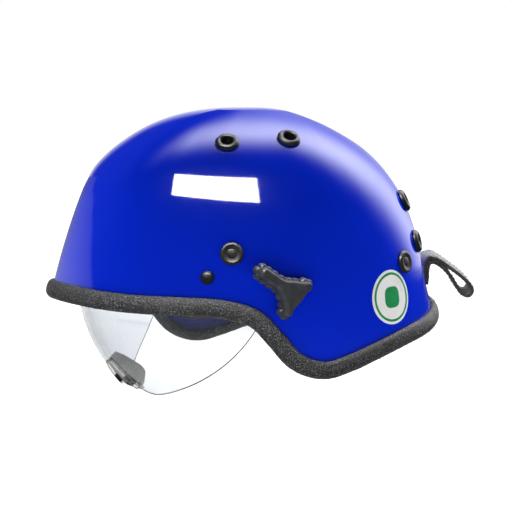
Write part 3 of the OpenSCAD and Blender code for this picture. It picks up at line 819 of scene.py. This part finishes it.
def inflate(obj, cap, pinned, voxel=4.0, pressure=4.0):
    """Remeshes a pad and swells it as cloth: pinned(points in mm) says which points stay, cap is in mm."""
    remesh = obj.modifiers.new("remesh", "REMESH")
    remesh.mode = "VOXEL"
    remesh.voxel_size = voxel * MM
    finished(obj)
    start = coords_of(obj.data)
    group = obj.vertex_groups.new(name="pinned")
    for k in np.flatnonzero(pinned(start / MM)):
        group.add([int(k)], 1.0, "ADD")
    cloth = obj.modifiers.new("cloth", "CLOTH")
    cloth.settings.use_pressure = True
    cloth.settings.uniform_pressure_force = pressure
    cloth.settings.effector_weights.gravity = 0
    cloth.settings.vertex_group_mass = "pinned"
    for f in range(1, 21):
        scene.frame_set(f)
    finished(obj)
    move = coords_of(obj.data) - start
    size = np.maximum(np.linalg.norm(move, axis=1, keepdims=True), 1e-9)
    set_coords(obj.data, start + move / size * cap * MM * np.tanh(size / (cap * MM)))
    scene.frame_set(1)
    obj.vertex_groups.clear()
    obj.data.polygons.foreach_set("use_smooth", [True] * len(obj.data.polygons))


def rounder(obj, levels=1):
    sub = obj.modifiers.new("round", "SUBSURF")
    sub.levels = sub.render_levels = levels
    finished(obj)
    obj.data.polygons.foreach_set("use_smooth", [True] * len(obj.data.polygons))


def slab(at, columns, rows):
    """A closed pad between two faces: at(u, v, s) gives points for u and v from 0 to 1, s = 0 at the back and
    s = 1 at the face."""
    u, v = np.meshgrid(np.linspace(0, 1, columns), np.linspace(0, 1, rows), indexing="ij")
    back, front = at(u, v, 0.0), at(u, v, 1.0)
    count = columns * rows
    verts = np.vstack([back.reshape(-1, 3), front.reshape(-1, 3)])
    faces = grid_faces(columns, rows)
    faces += [[a + count for a in f[::-1]] for f in faces]
    ring = (list(range(rows)) + [c * rows + rows - 1 for c in range(1, columns)]
            + [(columns - 1) * rows + k for k in range(rows - 2, -1, -1)]
            + [c * rows for c in range(columns - 2, 0, -1)])
    faces += [[a, b, b + count, a + count] for a, b in zip(ring, ring[1:] + ring[:1])]
    return verts, faces


def crown_of(u, v, power=4):
    return (1 - np.abs(2 * u - 1) ** power) * (1 - np.abs(2 * v - 1) ** power)


def drawn_in(obj, pull):
    """Draws a swollen pad in along its seams by pull(points, normals), in mm, and says how tight it is."""
    co, n = coords_of(obj.data) / MM, normals_of(obj.data)
    set_coords(obj.data, (co - n * pull(co, n)[:, None]) * MM)
    rounder(obj)


SIDE_SPAN = (82.0, 116.0)
SEAM_AT = 97.0


def side_pad_at(side):
    def at(u, v, s):
        # The pad's upper and lower edges pull in between its corners
        v2 = v + 0.07 * (0.5 - v) * np.sin(math.pi * u) * 2
        th = SIDE_SPAN[0] + 1 + u * (SIDE_SPAN[1] - SIDE_SPAN[0] - 2)
        low = rim_level(th) - 0.1
        level = low - 1.05 * v2 * np.clip(0.62 + 1.6 * np.minimum(u, 1 - u), 0, 1)
        depth = 4.2 + s * (1.6 + 4.6 * crown_of(u, v))
        return under(th, level, depth) * [side, 1, 1]
    return at


def bearing_of(mm):
    """Bearing of points about the Z axis, 0 to 180, on either side."""
    return np.degrees(np.arctan2(np.abs(mm[:, 0]), -mm[:, 1]))


def build_side_pads():
    seam_bearing = float(bearing_of(skin(SEAM_AT, 11)[None])[0])
    for side, name in ((1, "left"), (-1, "right")):
        at = side_pad_at(side)
        obj = piece(f"{name}_ear_pad", [slab(at, 46, 30)], [leather, mesh_cloth], "helmet",
                    [f"{name}_side_pad"])
        inflate(obj, 2.2, lambda mm: np.abs(mm[:, 0]) > 108.2, 3.4)

        def seam_pull(co, n):
            # The sewn seam between the leather and the mesh, on the inner face
            off = (bearing_of(co) - seam_bearing) * 1.95
            return 1.5 * np.exp(-((off / 2.2) ** 2)) * np.clip(-n[:, 0] * side, 0, 1)
        drawn_in(obj, seam_pull)
        centre = np.array([p.center for p in obj.data.polygons]) / MM
        is_mesh = (bearing_of(centre) > seam_bearing).astype(int)
        obj.data.polygons.foreach_set("material_index", is_mesh.tolist())
        # Piping along the seam and round the lower edge of the mesh
        v = np.linspace(0.06, 0.96, 16)
        u_seam = (SEAM_AT - SIDE_SPAN[0] - 1) / (SIDE_SPAN[1] - SIDE_SPAN[0] - 2)
        seam = at(np.full(16, u_seam), v, 1.0) - np.array([side * 0.9, 0, 0])
        u = np.linspace(u_seam, 0.97, 18)
        foot = at(u, np.full(18, 0.03), 0.75) - np.array([side * 0.6, 0, 0.4])
        piece(f"{name}_pad_piping", [rod(seam, 0.95, 12), rod(foot, 0.95, 12)], piping, "helmet",
              sharp=None)


HALF_W, HALF_L = 78, 97
BAND_T = 1.8


def oval(th, grow, z):
    q = np.radians(th)
    return np.stack(np.broadcast_arrays((HALF_W + grow) * np.sin(q), -(HALF_L + grow) * np.cos(q), z), -1)


def band_z(th):
    return -9.5 + 14.5 * np.cos(np.radians(th))


def band_pad(name, node, start, end, half, mat, channels):
    def at(u, v, s):
        th = start + 1 + u * (end - start - 2)
        h = (half - 1.2) * np.clip(0.6 + 3.0 * np.minimum(u, 1 - u), 0, 1) * (1 - 0.04 * np.sin(math.pi * u))
        return oval(th, -0.4 - s * (1.2 + 2.6 * crown_of(u, v)), band_z(th) + (2 * v - 1) * h)
    obj = piece(name, [slab(at, 90, 16)], mat, "helmet", [node])
    inner = (HALF_W - 1.2, HALF_L - 1.2)
    inflate(obj, 1.6, lambda mm: np.hypot(mm[:, 0] / inner[0], mm[:, 1] / inner[1]) > 1, 3.0)

    def channel_pull(co, n):
        th = np.degrees(np.arctan2(co[:, 0] / HALF_W, -co[:, 1] / HALF_L)) % 360
        if start < 0:
            th = np.where(th > 180 + start, th - 360, th)
        step = (end - start) / channels
        off = (np.mod(th - start + step / 2, step) - step / 2) * 1.5
        return np.exp(-((off / 1.6) ** 2))
    drawn_in(obj, channel_pull)
    # Binding along the upper and lower edges
    u = np.linspace(0.02, 0.98, 40)
    bind = [rod(at(u, np.full(40, v), 0.45) + [0, 0, lift], 0.8, 8, 2.0)
            for v, lift in ((0.0, -0.5), (1.0, 0.5))]
    piece(name + "_binding", bind, webbing, "helmet", sharp=None)


def build_crown_pad():
    spokes, rows = 72, 10
    a = np.arange(spokes) * 2 * math.pi / spokes

    def lobe(angle):
        return 1 - 0.035 * (1 - np.cos(6 * angle)) / 2
    lobes = lobe(a)
    under_side = [[30, -3.5 + 0.6], [22, -2.3], [14, -1.2], [6, -0.5]]
    upper = [[33.2, -0.6], [31.5, 2.2], [24, 4.6], [16, 6.4], [8, 7.5]]
    rings = []
    for r, z in under_side[::-1] + upper:
        rings.append(np.column_stack([r * lobes * np.cos(a), r * lobes * np.sin(a), np.full(spokes, 77 + z)]))
    rings = np.stack(rings, 1)
    m = rings.shape[1]
    verts = np.vstack([rings.reshape(-1, 3), [[0, 0, 76.7], [0, 0, 84.7]]])
    faces = grid_faces(spokes, m, True, False)
    n = spokes * m
    faces += [[n, j * m, ((j + 1) % spokes) * m] for j in range(spokes)]
    faces += [[n + 1, ((j + 1) % spokes) * m + m - 1, j * m + m - 1] for j in range(spokes)]
    obj = piece("crown_cushion", [(verts, faces)], mesh_cloth, "helmet", ["crown_pad"])
    inflate(obj, 1.6, lambda mm: (mm[:, 2] > 83.5) | (np.hypot(mm[:, 0], mm[:, 1]) > 33.5), 3.6)

    def star_pull(co, n):
        # Six seams from the middle and one round it
        r, q = np.hypot(co[:, 0], co[:, 1]), np.arctan2(co[:, 1], co[:, 0])
        off = np.abs(np.mod(q + math.pi / 6, math.pi / 3) - math.pi / 6) * r
        spoke = 1.2 * np.exp(-((off / 1.8) ** 2)) * np.clip((r - 6) / 5, 0, 1)
        return spoke + np.exp(-(((r - 8) / 1.7) ** 2))
    drawn_in(obj, star_pull)
    edge = [[33.6 * lobe(t) * math.cos(t), 33.6 * lobe(t) * math.sin(t), 77 - 0.9]
            for t in np.linspace(0, 2 * math.pi, 49)]
    piece("crown_cushion_piping", [rod(edge, 0.9, 10)], piping, "helmet", sharp=None)


def egg(e, th, up):
    """Points of an egg with half sizes e (side, front, back, up) at bearings and heights in degrees."""
    q, p = np.radians(th), np.radians(up)
    reach = np.where(np.cos(q) > 0, e[1], e[2])
    return np.stack(np.broadcast_arrays(e[0] * np.sin(q) * np.cos(p), -reach * np.cos(q) * np.cos(p),
                                        e[3] * np.sin(p)), -1)


LINER_OUT, LINER_IN, LINER_FOOT = [94, 112, 110, 113], [84, 102, 100, 101], -8


def build_liner():
    rounds, rows = 240, 74
    th = (np.arange(rounds) * 360 / rounds)[:, None]
    k = np.arange(1, rows + 1) / rows
    foot_out = math.degrees(math.asin(LINER_FOOT / LINER_OUT[3]))
    foot_in = math.degrees(math.asin(LINER_FOOT / LINER_IN[3]))
    up_out, up_in = 90 - k * (90 - foot_out), 90 - k * (90 - foot_in)
    outer, inner = egg(LINER_OUT, th, up_out), egg(LINER_IN, th, up_in)

    # Long channels pressed into the inside, and shallow ones outside between the vents
    def channel(every, wide):
        off = np.abs(np.mod(th + every / 2, every) - every / 2) * 1.6
        return 1 / (1 + np.exp((off - wide) / 0.7))
    fade = np.clip((80 - up_in) / 12, 0, 1) * np.clip((up_in - 4) / 10, 0, 1)
    inner = inner * (1 + 0.026 * (channel(36, 5.5) * fade))[..., None]
    outer = outer * (1 - 0.018 * (channel(60, 7) * fade))[..., None]
    # The foot is rounded over
    for ring, sign in ((outer, -1), (inner, 1)):
        for back, by in ((1, 2.2), (2, 0.9), (3, 0.25)):
            flat = unit(ring[:, -back] * [1, 1, 0])
            ring[:, -back] += sign * by * flat
    part, _ = holed_wall(outer, inner, [0, 0, LINER_OUT[3]], [0, 0, LINER_IN[3]], vent_axes(VENTS, 18, 16), 5.0)
    piece("foam_liner", [part], foam, "helmet", ["impact_liner"], sharp=50)
    outline = soften([[0.01, 0], [17, 0], [17, 2], [0.01, 2]], 0.8, closed=False)
    disc = lathe([[0, 0]] + outline[1:-1] + [[0, 2]], 72)
    piece("crown_shim", [placed(disc, [0, -6, LINER_OUT[3] + 0.3], np.eye(3))], foam, "helmet",
          ["crown_spacer"])


def build_headband():
    rounds = 360
    th = np.arange(rounds) * 360 / rounds
    half = 13
    section = soften([[0, -half + 0.6], [0, half - 0.6], [0.5, half], [1.6, half], [2.1, half - 0.6],
                      [2.1, half - 2.4], [1.7, half - 3], [1.7, -half + 3], [2.1, -half + 2.4],
                      [2.1, -half + 0.6], [1.6, -half], [0.5, -half]], 0.3, 2)
    rings = np.stack([oval(th, g - 0.1, band_z(th) + z) for g, z in section], 1)
    parts = [ring_part(rings)]
    # Toothed rows where the ratchet draws the band's ends together
    for t in np.r_[np.arange(146, 168, 1.5), np.arange(192.5, 214.5, 1.5)]:
        for z in (-5.5, 5.5):
            c = oval(t, BAND_T + 0.15, band_z(t) + z)
            q = math.radians(t)
            axes = [unit([math.cos(q), math.sin(q), 0]), [0, 0, 1], unit([math.sin(q), -math.cos(q), 0])]
            parts.append(placed(bead([0.55, 2.2, 0.6], 6), c, axes))
    piece("head_strap", parts, band, "helmet", ["headband"], sharp=45)


def build_cradle():
    parts, sewn = [], []
    for bearing, lift in ((38, 0), (-38, 3)):
        q = math.radians(bearing)
        along = np.array([math.sin(q), -math.cos(q), 0])
        across = np.array([math.cos(q), math.sin(q), 0])
        reach = math.hypot(76 * math.sin(q), 95 * math.cos(q))
        a = np.radians(np.linspace(13, 182, 620))
        up = np.array([0, 0, 1.0])
        middle = along * (reach - lift) * np.cos(a)[:, None] + up * ((93 - lift) * np.sin(a))[:, None]
        n = unit(along * np.cos(a)[:, None] + up * np.sin(a)[:, None])
        rib = 0.09 * np.cos(np.arange(620) * math.pi / 2)
        section = [[-10, 0.25], [-9.4, 0], [-7.6, 0], [-7.2, 0.16], [-6.8, 0], [6.8, 0], [7.2, 0.16], [7.6, 0],
                   [9.4, 0], [10, 0.25], [10, 0.95], [9.4, 1.2], [0, 1.2], [-9.4, 1.2], [-10, 0.95]]
        rings = np.stack([middle + s * across - (d + (rib if d < 0.5 else -rib))[:, None] * n
                          for s, d in section], 1)
        parts.append(ring_part(rings, closed=False))
        # Bar tacks where the webbing is sewn to itself near its ends
        for k in (36, 46, 572, 582):
            axes = [across, unit(middle[k + 1] - middle[k]), n[k]]
            for s in np.linspace(-6.4, 6.4, 9):
                sewn.append(placed(bead([0.75, 0.35, 0.3], 6), middle[k] + s * across, axes))
    piece("cradle_webbing", parts, webbing, "helmet", ["cradle_straps"], sharp=60)
    piece("cradle_tacks", sewn, thread, "helmet", sharp=None)


def build_snap():
    button = turned([[0.01, 0], [6, 0], [6, 1.0], [4.6, 1.5], [3.6, 2.5], [2.0, 2.9]], 0.4, 2.7, 64)
    piece("snap_button", [placed(button, [0, 132.9, -4.5], [[1, 0, 0], [0, 0, -1], [0, 1, 0]])], black,
          "helmet", ["snap_stud"])


def dress_cad_nodes():
    """The hard small CAD parts stay: each gets a rounded edge and its own finish."""
    finish = {"rivet_washers": steel, "visor_guides": black, "liner_posts": black, "headband_clips": black,
              "ratchet_housing": black, "pivot_bosses": black, "pivot_bushes": steel, "visor_washers": nylon,
              "left_stud": steel, "left_nut": steel, "right_stud": steel, "right_nut": steel,
              "ratchet_knob": slate, "ratchet_pinion": nylon}
    for name, mat in finish.items():
        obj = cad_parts[name]
        obj.data.materials.clear()
        obj.data.materials.append(mat)
        obj.data.polygons.foreach_set("material_index", [0] * len(obj.data.polygons))
        bevel = obj.modifiers.new("edge", "BEVEL")
        bevel.width = 0.3 * MM
        bevel.segments = 2
        bevel.limit_method = "ANGLE"
        bevel.angle_limit = math.radians(40)


# ---------------------------------------------------------------- floor and light
def card(name, bearings, levels, away, glow, diffuse=False):
    """A glowing sheet, away metres off, that shows in the shell between bearings and levels. glow(bearing, level)
    says how bright its reflection is there."""
    b, t = np.meshgrid(bearings, levels, indexing="ij")
    p, n = skin(b, t) * MM, facing(b, t)
    v = unit(np.array(CAMERA_AT) - p)
    lean = (n * v).sum(-1)
    at = p + away * (2 * lean[..., None] * n - v)
    mirror = 0.04 + 0.96 * (1 - np.clip(lean, 0.02, 1)) ** 5
    mesh = bpy.data.meshes.new(name)
    mesh.from_pydata(at.reshape(-1, 3).tolist(), [], grid_faces(*b.shape))
    glowing = mesh.attributes.new("glow", "FLOAT", "POINT")
    glowing.data.foreach_set("value", (glow(b, t) / mirror).ravel().astype(np.float32))
    mat = bpy.data.materials.new(name)
    mat.use_nodes = True
    nodes, links = mat.node_tree.nodes, mat.node_tree.links
    shader = nodes["Principled BSDF"]
    shader.inputs["Base Color"].default_value = (0, 0, 0, 1)
    shader.inputs["Emission Color"].default_value = (1, 1, 1, 1)
    source = nodes.new("ShaderNodeAttribute")
    source.attribute_name = "glow"
    links.new(source.outputs["Fac"], shader.inputs["Emission Strength"])
    mesh.materials.append(mat)
    obj = bpy.data.objects.new(name, mesh)
    obj.visible_camera = obj.visible_shadow = obj.visible_transmission = False
    obj.visible_diffuse = diffuse
    scene.collection.objects.link(obj)


def shade(value):
    """Linear brightness of a grey from 0 to 255."""
    return (np.asarray(value, float) / 255) ** 2.2


def crown_glow(b, t):
    ridge = np.interp(b, [24, 30, 36, 48, 60, 84, 96, 108, 120, 126, 132, 138, 144, 160],
                      [4.6, 4.3, 3.7, 3.3, 3.1, 3.1, 3.4, 3.8, 4.6, 5.2, 6.0, 7.0, 8.0, 10.0])
    peak = np.interp(b, [24, 30, 36, 42, 60, 96, 108, 126, 138, 160],
                     [0, 36, 85, 130, 158, 170, 184, 184, 195, 205])
    base = np.interp(b, [24, 36, 48, 60, 96, 130, 150], [0, 10, 40, 85, 112, 125, 170])
    below = np.interp(b, [24, 84, 96, 108, 120, 132, 150], [0.8, 0.85, 1.2, 1.7, 2.3, 3.0, 3.4])
    above = np.interp(b, [24, 60, 96, 130], [0.9, 1.0, 0.9, 1.4])
    fall = np.exp(-np.abs(np.where(t > ridge, (t - ridge) / below, (ridge - t) / above)) ** 2.2)
    value = np.where(t > ridge, peak * fall, base + (peak - base) * fall)
    return shade(value * np.clip((9.3 - t) / 0.7, 0, 1))


def brow_glow(b, t):
    edge = np.interp(t, [6, 6.5, 7, 7.5, 8, 8.5, 9, 9.5, 11], [0.5, 3, 7, 9, 11.5, 14, 15.5, 18, 22])
    return shade(np.clip(46 + 2.4 * (edge - b), 0, 150)) * (b < edge)


ROOM = 0.03  # brightness of the room that the gloss mirrors
FLOOR_HALF, FLOOR_Z = 6, -0.22


def build_stage():
    world = bpy.data.worlds.new("studio")
    scene.world = world
    world.use_nodes = True
    nodes, links = world.node_tree.nodes, world.node_tree.links
    back = nodes["Background"]
    back.inputs["Color"].default_value = (1, 1, 1, 1)
    path = nodes.new("ShaderNodeLightPath")
    way = nodes.new("ShaderNodeTexCoord")
    dot = nodes.new("ShaderNodeVectorMath")
    dot.operation = "DOT_PRODUCT"
    dot.inputs[1].default_value = -BACK
    links.new(way.outputs["Generated"], dot.inputs[0])
    drop = map_range(nodes, links, dot.outputs["Value"], From_Min=0.84, From_Max=0.99, To_Min=ROOM, To_Max=0.8)
    drop.interpolation_type = "SMOOTHSTEP"

    def choose(ray, no, yes):
        mix = nodes.new("ShaderNodeMix")
        links.new(path.outputs[ray], mix.inputs["Factor"])
        for k, value in ((2, no), (3, yes)):
            if isinstance(value, float):
                mix.inputs[k].default_value = value
            else:
                links.new(value, mix.inputs[k])
        return mix.outputs[0]
    split = nodes.new("ShaderNodeSeparateXYZ")
    links.new(way.outputs["Generated"], split.inputs["Vector"])
    sky = map_range(nodes, links, split.outputs["Z"], From_Min=-0.5, From_Max=0.8, To_Min=1.3, To_Max=3.3)
    other = choose("Is Diffuse Ray", 1.0, sky.outputs["Result"])
    links.new(choose("Is Glossy Ray", other, drop.outputs["Result"]), back.inputs["Strength"])
    mesh = bpy.data.meshes.new("floor")
    r, z = FLOOR_HALF, FLOOR_Z
    mesh.from_pydata([(-r, -r, z), (r, -r, z), (r, r, z), (-r, r, z)], [], [(0, 1, 2, 3)])
    mesh.materials.append(material("floor_paper", near((137, 137, 137), 0.005), ("noise", 3), (0.8, 0.9),
                                   wear=2, Emission_Color=(1, 1, 1, 1), Emission_Strength=0.82))
    floor = bpy.data.objects.new("floor", mesh)
    floor.visible_glossy = floor.visible_diffuse = False
    scene.collection.objects.link(floor)
    # A window-like patch on the left side, a broad soft band over the crown and a hard-edged one on the brow
    card("patch_card", np.linspace(42, 71, 9), np.linspace(5.2, 6.15, 5), 1.25,
         lambda b, t: np.full(b.shape, 1.3))
    card("crown_card", np.linspace(22, 165, 72), np.linspace(1.2, 10.2, 46), 1.6, crown_glow, diffuse=True)
    card("brow_card", np.linspace(-40, 24, 65), np.linspace(6, 11, 21), 1.5, brow_glow)


build_shell()
build_trim()
build_vents()
build_rivets()
build_badge()
build_knobs()
build_lens()
build_nose_piece()
build_strap()
build_snap()
build_side_pads()
band_pad("brow_cushion", "sweatband", -72, 72, 14, towel, 9)
band_pad("nape_cushion", "nape_pad", 145, 215, 11, towel, 5)
build_crown_pad()
build_liner()
build_headband()
build_cradle()
dress_cad_nodes()
build_stage()
